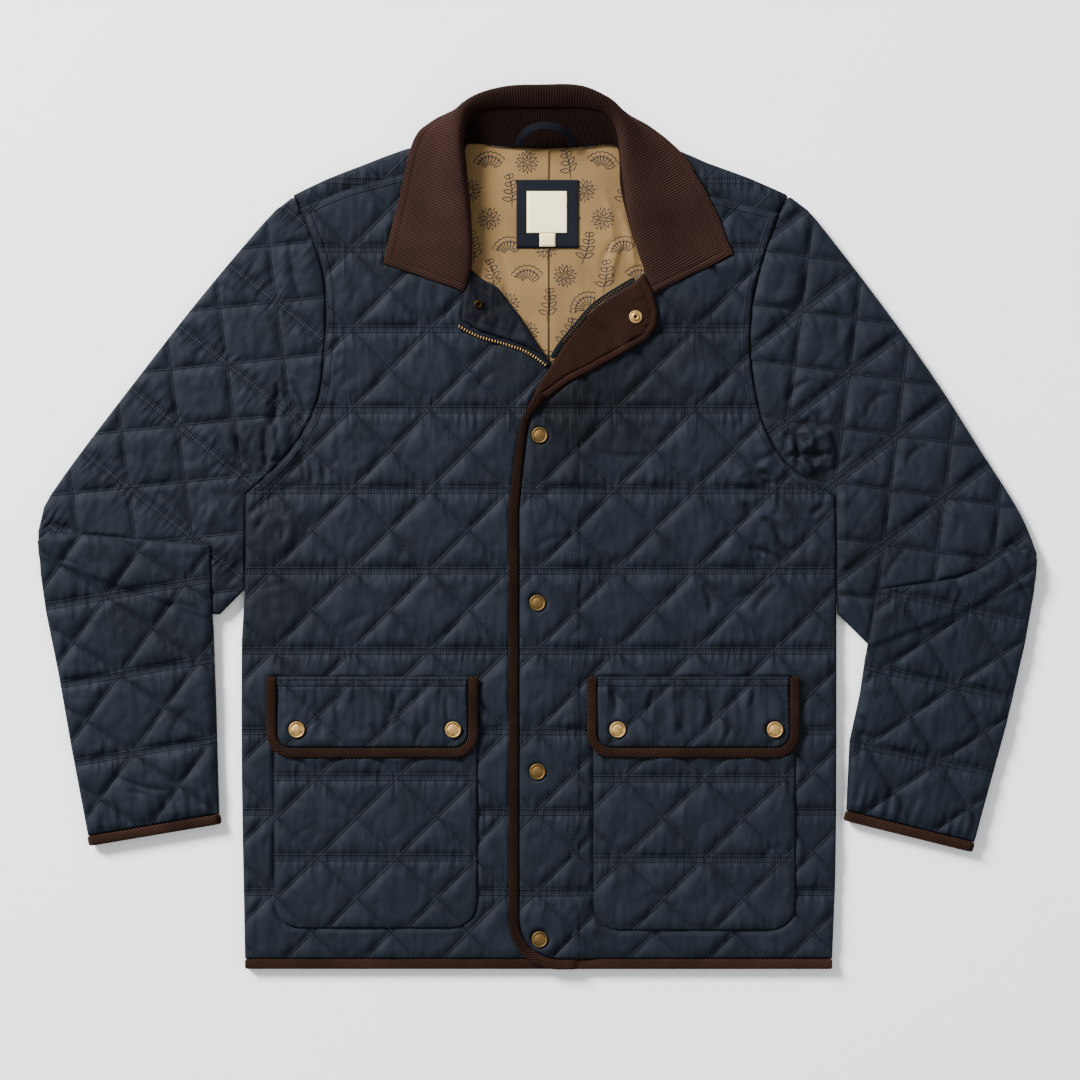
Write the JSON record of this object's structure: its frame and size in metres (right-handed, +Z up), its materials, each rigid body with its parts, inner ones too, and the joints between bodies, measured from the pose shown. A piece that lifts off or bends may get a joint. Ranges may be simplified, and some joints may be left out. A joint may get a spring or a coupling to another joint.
{
  "type": "quilted jacket",
  "caption": "Hip-length quilted jacket with a corduroy collar, snap front and flap pockets, laid flat on its back with the collar turned down and the cuffs folded forward.",
  "frame": {"origin": "middle of the whole laid-out jacket, on the surface it lies on", "axes": "+X towards the wearer's left sleeve, +Y towards the collar, +Z up from the surface, out of the jacket's front"},
  "size_m": [0.949, 0.8389, 0.0286],
  "materials": {
    "shell": "navy polyester weave, quilted, dull",
    "corduroy": "brown cotton corduroy, ribbed, soft",
    "lining": null,
    "brass": "aged brass, satin",
    "patch": "dark navy twill tape",
    "label": "cream woven label, bare"
  },
  "bodies": {
    "root": {"back_panel": "shell", "front_right": "shell", "front_left": "shell", "facing_right": "shell", "sleeve_right_top": "shell", "sleeve_right_under": "shell", "forearm_right_top": "shell", "forearm_right_under": "shell", "pocket_right": "shell", "flap_right": "shell", "sleeve_left_top": "shell", "sleeve_left_under": "shell", "forearm_left_top": "shell", "forearm_left_under": "shell", "pocket_left": "shell", "flap_left": "shell", "facing_left": "corduroy", "collar": "corduroy", "collar_stand": "corduroy", "binding_front_left": "corduroy", "binding_front_right": "corduroy", "binding_back": "corduroy", "cuff_binding_right": "corduroy", "cuff_binding_left": "corduroy", "flap_binding_right": "corduroy", "flap_binding_left": "corduroy", "snap_front_1": "brass", "snap_front_2": "brass", "snap_front_3": "brass", "snap_front_4": "brass", "snap_pocket_right_1": "brass", "snap_pocket_right_2": "brass", "snap_pocket_left_1": "brass", "snap_pocket_left_2": "brass", "snap_socket": "brass", "snap_stud": "brass", "hanger_loop": "patch", "label_patch": "patch", "zip_tape_right": "patch", "zip_tape_left": "patch", "lining_back": "lining", "label": "label", "size_tab": "label"}
  },
  "joints": []
}
